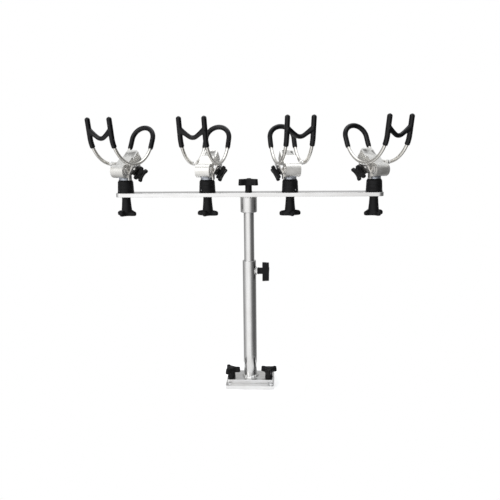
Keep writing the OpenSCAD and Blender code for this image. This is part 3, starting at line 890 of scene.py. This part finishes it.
BELLY_C = (BELLY_F, BELLY_Z + BELLY_R)
FRONT_C = bend_centre(BELLY_C, BELLY_R - HEEL_R, BELLY_FRONT)
REAR_C = bend_centre(BELLY_C, BELLY_R - HEEL_R, BELLY_REAR)
PRONG_FOOT = bend_centre(FRONT_C, HEEL_R, FRONT_HEEL)
PRONG_DIR = (-math.sin(math.radians(FRONT_HEEL)), math.cos(math.radians(FRONT_HEEL)))
LEG_DIR = (math.sin(math.radians(REAR_HEEL)), -math.cos(math.radians(REAR_HEEL)))
LEG_FOOT = bend_centre(REAR_C, HEEL_R, REAR_HEEL)
LEG_TOP = (LEG_FOOT[0] + ARCH_LEG * LEG_DIR[0], LEG_FOOT[1] + ARCH_LEG * LEG_DIR[1])


def on_prong(v):
    return (PRONG_FOOT[0] + v * PRONG_DIR[0], PRONG_FOOT[1] + v * PRONG_DIR[1])


FORK_PROFILE = [on_prong(v) for v in np.linspace(PRONG_LEN, 4, 10)]
FORK_PROFILE += arc3(FRONT_C, HEEL_R, FRONT_HEEL, BELLY_FRONT, 10)
BELLY_PROFILE = arc3(BELLY_C, BELLY_R, BELLY_FRONT, BELLY_REAR, 40)
REAR_PROFILE = arc3(REAR_C, HEEL_R, BELLY_REAR, REAR_HEEL, 4)
REAR_PROFILE += [tuple(np.array(LEG_FOOT) + t * (np.array(LEG_TOP) - LEG_FOOT)) for t in (0.33, 0.66, 1.0)]


def side_path(profile, x):
    return [(x, -f, z) for f, z in profile]


def arch_path():
    points = []
    for a in np.linspace(180, 0, 41):
        rise = SIDE_X * math.sin(math.radians(a))
        points.append((SIDE_X * math.cos(math.radians(a)), -(LEG_TOP[0] + rise * LEG_DIR[0]),
                       LEG_TOP[1] + rise * LEG_DIR[1]))
    return points


def cradle_wire_mesh():
    one = FORK_PROFILE[2:] + BELLY_PROFILE[1:] + REAR_PROFILE[1:-1]
    path = side_path(one, -SIDE_X) + arch_path() + list(reversed(side_path(one, SIDE_X)))
    return new_object("cradle_wire", sweep(path, WIRE_R, 28))


def saddle_path(steps):
    """Rod between the prongs: two straight arms that slope down to a bend in the middle."""
    drop = math.radians(SADDLE_DROP)
    bend_x = SADDLE_BEND * math.sin(drop)
    bend_v = SADDLE_UP - (SIDE_X - bend_x) * math.tan(drop)
    flat = [(-SIDE_X + t * (SIDE_X - bend_x), SADDLE_UP - t * (SADDLE_UP - bend_v))
            for t in np.linspace(0, 0.9, 6)]
    flat += [(SADDLE_BEND * math.sin(a), bend_v + SADDLE_BEND * (math.cos(drop) - math.cos(a)))
             for a in np.linspace(-drop, drop, steps)]
    flat += [(-x, v) for x, v in reversed(flat[:6])]
    return [(x, -on_prong(v)[0], on_prong(v)[1]) for x, v in flat]


def fork_coating_mesh():
    """Dipped skin over both prongs and the saddle, thick in the corners, with a drip point on each tip."""
    parts = []
    tip = np.array((0, -on_prong(PRONG_LEN)[0], on_prong(PRONG_LEN)[1]))
    up = np.array((0, -PRONG_DIR[0], PRONG_DIR[1]))
    for x in (-SIDE_X, SIDE_X):
        caps = [tuple(tip + up * h + (x, 0, 0)) for h in (5.6, 5.0, 4.4, 3.6, 2.4, 1.2)]
        radii = [0.5, 1.2, 2.5, 4.2, 5.3, 6.0]
        path = caps + side_path(FORK_PROFILE, x)
        radii += [COAT_R - 0.1] * len(FORK_PROFILE)
        parts.append(sweep(path, radii, 28))
    path = saddle_path(14)
    thick = [SADDLE_R + 0.2 + 2.2 * max(0, (abs(p[0]) - 13) / 18) ** 1.5 for p in path]
    parts.append(sweep(path, thick, 28))
    return moulded(new_object("fork_coating", joined(*parts)), 0.75, 6, 0.5)


def arch_coating_mesh():
    one = REAR_PROFILE
    path = side_path(one, -SIDE_X) + arch_path()[1:-1] + list(reversed(side_path(one, SIDE_X)))
    ends = [COAT_R - 1.3, COAT_R - 0.3]
    radii = ends + [COAT_R] * (len(path) - 4) + ends[::-1]
    return new_object("arch_coating", sweep(path, radii, 28))


def bracket_meshes():
    """Folded sheet: the ear and tab against the barrel's end, and the web under the near wire."""
    ear = arc(TILT_F, TILT_Z, 9, -90, 90, 20)
    flat = [np.array(p) for p in ((14, 31.5), (14, FOLD_Z))] + ear + rounded(
        [(18, 63, 0), (3, 59, 2), (2, FOLD_Z, 0)], 3, closed=False)[1:] + [np.array((2, 31.5))]
    ear_side = new_object("ear", prism([(p[0], p[1]) for p in flat], 0, BRACKET_T))
    # the outline is (forward, height); its thickness runs outward along X
    ear_side.data.transform(Matrix(((0, 0, 1, BRACKET_X), (-1, 0, 0, 0), (0, 1, 0, 0), (0, 0, 0, 1))))
    bevelled(ear_side, 0.5, 2)
    lean = math.cos(math.radians(WEB_LEAN))

    def under_wire(f):
        z = BELLY_C[1] - math.sqrt((BELLY_R + WIRE_R) ** 2 - (f - BELLY_F) ** 2)
        return (z + 2.0 - FOLD_Z) / lean

    top = [(f, under_wire(f)) for f in np.linspace(13, -17, 16)]
    low = rounded([(-17, 28, 0), (-32, 13, 5), (-32, -2.5, 4), (-14, -5, 3), (-3, 0, 2), (14, 0, 0)],
                  5, closed=False)
    outline = top + [tuple(p) for p in low[1:]]
    web = new_object("web", prism(outline, -BRACKET_T / 2, BRACKET_T / 2))
    boolean(web, joined(drill(1, 17, -9, 9, 3.2), drill(STAR_F, STAR_UP, -9, 9, STAR_BORE)))
    bevelled(web, 0.5, 2)
    boss_r, boss_foot = 6.5, -BRACKET_T / 2 - 6
    profile = rounded([(STAR_BORE, boss_foot, 0), (boss_r, boss_foot, 0.8), (boss_r, -1, 0),
                       (STAR_BORE, -1, 0)], 4)
    boss = new_object("boss", placed(lathe(profile, 40, closed=True), moved(STAR_F, STAR_UP, 0)))
    for part in (web, boss):
        part.data.transform(at_web())
    return join([ear_side, web, boss], "lock_bracket")


def join(objects, name):
    bm = bmesh.new()
    for obj in objects:
        bm.from_mesh(obj.data)
    data = bpy.data.meshes.new(name)
    bm.to_mesh(data)
    bm.free()
    for obj in objects:
        bpy.data.objects.remove(obj)
    out = bpy.data.objects.new(name, data)
    bpy.context.scene.collection.objects.link(out)
    return out


def holder_weld_mesh():
    """Weld metal where the far wire meets its pin, and a bead along the web under the near wire."""
    pin_f, pin_z = TILT_F + 2, BELLY_Z + 2.2
    profile = rounded([(0.3, 0, 0), (4.6, 0, 0), (4.4, 10, 0.5), (0.3, 10, 0)], 3, closed=False)
    pin = placed(lathe(profile, 32), moved(-BARREL_HALF + 0.5, -pin_f, pin_z) @ turned(-90, "Y"))
    lumps = []
    for k in range(8):
        a = math.radians(45 * k)
        centre = (-BARREL_HALF - 7.2, -pin_f + 4.0 * math.cos(a), pin_z + 4.0 * math.sin(a))
        lumps.append(ball(centre, 2.2 + 0.3 * math.sin(2.3 * k)))
    for k in range(9):
        f = 11 - 3.2 * k
        z = BELLY_C[1] - math.sqrt((BELLY_R + WIRE_R - 1.0) ** 2 - (f - BELLY_F) ** 2)
        lumps.append(ball((SIDE_X - 3.4, -f, z + 0.4), 2.0 + 0.25 * math.sin(1.7 * k)))
        lumps.append(ball((SIDE_X + 2.4, -f, z - 0.6), 1.8 + 0.25 * math.sin(2.9 * k)))
    obj = new_object("holder_weld", joined(pin, *lumps))
    return moulded(obj, 0.45, 4, 0.5)


def ball(centre, r):
    x, y, z = centre
    turns = np.linspace(0, 2 * math.pi, 14, endpoint=False)
    rings = [[(x + r * math.cos(t) * math.cos(a), y + r * math.cos(t) * math.sin(a), z + r * math.sin(t))
              for a in turns] for t in np.radians(np.linspace(-85, 85, 9))]
    return loft(rings)


def rod_holders():
    hub, hub_bolts = hub_mesh()
    star, star_bolt = star_knob_mesh()
    screw = new_object("screw", placed(socket_screw(2.2, 12, 19.2, 1.1), screw_place()))
    star_place = at_web() @ moved(STAR_F, STAR_UP, BRACKET_T / 2 + GAP)
    # name, shape, place, body, slot, material, the CAD nodes that it replaces, and shading angle
    pieces = (
        ("swivel_collar", collar_mesh(), HERE, "swivel", "black_plastic", PLASTIC, ["swivel_collar"], 30),
        ("collar_screw", screw, HERE, "swivel", "fastener", ZINC, ["collar_screw"], 30),
        ("swivel_hub", hub, HERE, "swivel", "hub_metal", HUB, ["swivel_hub"], 35),
        ("hub_bolts", hub_bolts, HERE, "swivel", "fastener", ZINC, [], 30),
        ("clamp_knob", clamp_knob_mesh(), moved(0, 0, -BAR_T - GAP), "clamp_knob", "black_plastic",
         PLASTIC, ["clamp_knob"], 50),
        ("tilt_block", tilt_block_mesh(), ALONG_PLATE, "cradle", "cast_block", CAST, ["tilt_block"],
         FLAT_ANGLE),
        ("cradle_wire", cradle_wire_mesh(), HERE, "cradle", "stainless", STEEL,
         ["cradle_wire", "rod_saddle"], 60),
        ("holder_weld", holder_weld_mesh(), HERE, "cradle", "weld", WELD, [], 60),
        ("fork_coating", fork_coating_mesh(), HERE, "cradle", "black_vinyl", VINYL, ["fork_coating"], 60),
        ("arch_coating", arch_coating_mesh(), HERE, "cradle", "black_vinyl", VINYL, ["arch_coating"], 60),
        ("lock_bracket", bracket_meshes(), HERE, "cradle", "bracket_steel", SHEET, ["lock_bracket"],
         FLAT_ANGLE),
        ("star_knob", star, star_place, "star_knob", "black_plastic", PLASTIC, ["star_knob"], 45),
        ("star_bolt", star_bolt, star_place, "star_knob", "fastener", ZINC, [], 30),
    )
    for n in HOLDERS:
        here = holder_frame(n)
        for name, template, place, body, slot, material, nodes, angle in pieces:
            obj = copied(template, f"{name}_{n}_detail")
            finished(obj, here @ place, f"{body}_{n}", material, [f"{x}_{n}" for x in nodes], angle)
    for row in pieces:
        bpy.data.objects.remove(row[1])


# ---- stage ----

FLOOR_R = 0.14


def stage():
    """Small round floor as white as the world behind it, just wide enough for the base's shadow."""
    turns = np.linspace(0, 2 * math.pi, 96, endpoint=False)
    rim = [(FLOOR_R * math.cos(a), FLOOR_R * math.sin(a), 0) for a in turns]
    data = bpy.data.meshes.new("floor")
    data.from_pydata(rim, [], [tuple(range(len(rim)))])
    floor = bpy.data.objects.new("floor", data)
    floor.location.z = cad_box[0].z - 0.0005
    bpy.context.scene.collection.objects.link(floor)
    paper = Surface("pale_paper", 0.0, 0.9)
    cloud = paper.noise(3, (1, 1, 1), 2, 0.5)
    paper.colour(paper.ramp(cloud, [(0.3, grey(0.87)), (0.7, grey(0.89))]))
    paper.shader.inputs["Emission Color"].default_value = (1, 1, 1, 1)
    paper.shader.inputs["Emission Strength"].default_value = 0.35
    data.materials.append(paper.mat)


# soft lights: name, place, width and height in metres, and power in watts
LIGHTS = (("key", (-1.5, -1.6, 1.6), 1.0, 1.4, 9),
          ("top", (0.0, 0.3, 2.4), 1.8, 1.8, 14))
LIT_POINT = Vector((0, 0, 0.4))


def lights():
    for name, place, width, height, power in LIGHTS:
        data = bpy.data.lights.new(name, "AREA")
        data.shape, data.size, data.size_y, data.energy = "RECTANGLE", width, height, power
        light = bpy.data.objects.new(name, data)
        light.location = place
        light.rotation_euler = (LIT_POINT - Vector(place)).to_track_quat("-Z", "Y").to_euler()
        bpy.context.scene.collection.objects.link(light)


# studio walls that the metal reflects: degrees to the right of the front, and brightness
WALLS = ((-180, 0.55), (-140, 0.34), (-104, 0.42), (-74, 0.70), (-46, 1.25), (0, 1.22), (14, 1.05),
         (34, 0.34), (58, 0.14), (112, 0.13), (138, 0.34), (180, 0.55))


def world():
    """White where it is seen, and pale walls with a dark one to the right where metal reflects it."""
    w = bpy.data.worlds.new("studio")
    bpy.context.scene.world = w
    w.use_nodes = True
    nodes, links = w.node_tree.nodes, w.node_tree.links
    seen = nodes["Background"]
    seen.inputs["Color"].default_value = (1, 1, 1, 1)
    split = nodes.new("ShaderNodeSeparateXYZ")
    links.new(nodes.new("ShaderNodeTexCoord").outputs["Generated"], split.inputs[0])

    def math_node(operation, a, b):
        node = nodes.new("ShaderNodeMath")
        node.operation = operation
        for socket, value in zip(node.inputs, (a, b)):
            if isinstance(value, (int, float)):
                socket.default_value = value
            else:
                links.new(value, socket)
        return node.outputs[0]

    def ramp(fac, stops):
        node = nodes.new("ShaderNodeValToRGB")
        points = node.color_ramp.elements
        while len(points) < len(stops):
            points.new(0.5)
        for point, (place, value) in zip(points, stops):
            point.position, point.color = place, (value, value, value, 1)
        links.new(fac, node.inputs["Fac"])
        return node.outputs["Color"]

    turn = math_node("ARCTAN2", split.outputs["X"], math_node("MULTIPLY", split.outputs["Y"], -1))
    share = math_node("ADD", math_node("DIVIDE", turn, 2 * math.pi), 0.5)
    walls = ramp(share, [((a + 180) / 360, v / 2) for a, v in WALLS])
    ceiling = ramp(split.outputs["Z"], [(0.45, 0), (0.85, 1)])
    mix = nodes.new("ShaderNodeMix")
    mix.data_type = "RGBA"
    links.new(ceiling, mix.inputs["Factor"])
    links.new(walls, mix.inputs["A"])
    mix.inputs["B"].default_value = (0.42, 0.43, 0.44, 1)
    light = nodes.new("ShaderNodeBackground")
    light.inputs["Strength"].default_value = 2.0
    links.new(mix.outputs["Result"], light.inputs["Color"])
    both = nodes.new("ShaderNodeMixShader")
    links.new(nodes.new("ShaderNodeLightPath").outputs["Is Camera Ray"], both.inputs["Fac"])
    links.new(light.outputs[0], both.inputs[1])
    links.new(seen.outputs[0], both.inputs[2])
    links.new(both.outputs[0], nodes["World Output"].inputs["Surface"])


def camera():
    azimuth, elevation, roll = map(math.radians, (3.34, 10.81, -0.62))
    target, distance = Vector((0.00197, 0, 0.3501)), 1.5154
    back = Vector((math.sin(azimuth) * math.cos(elevation), -math.cos(azimuth) * math.cos(elevation),
                   math.sin(elevation)))
    right = (-back).cross(Vector((0, 0, 1))).normalized()
    up = right.cross(-back)
    right, up = (right * math.cos(roll) + up * math.sin(roll), up * math.cos(roll) - right * math.sin(roll))
    data = bpy.data.cameras.new("camera")
    data.lens, data.sensor_width = 43.65, 36.0
    data.clip_start, data.clip_end = 0.05, 100
    cam = bpy.data.objects.new("camera", data)
    cam.matrix_world = Matrix((right, up, back)).transposed().to_4x4()
    cam.location = target + back * distance
    bpy.context.scene.collection.objects.link(cam)
    bpy.context.scene.camera = cam


deck_plate()
sole_plate()
mast_sleeve()
mast_tube()
sleeve_weld()
clamp_boss()
base_knobs()
mast_clamp()
cross_bar()
bar_socket()
bar_knob()
rod_holders()
frame["nodes"]["mast_plug"].data.materials.clear()
frame["nodes"]["mast_plug"].data.materials.append(ZINC)

stage()
world()
lights()
bpy.context.scene.view_settings.view_transform = "Standard"
camera()
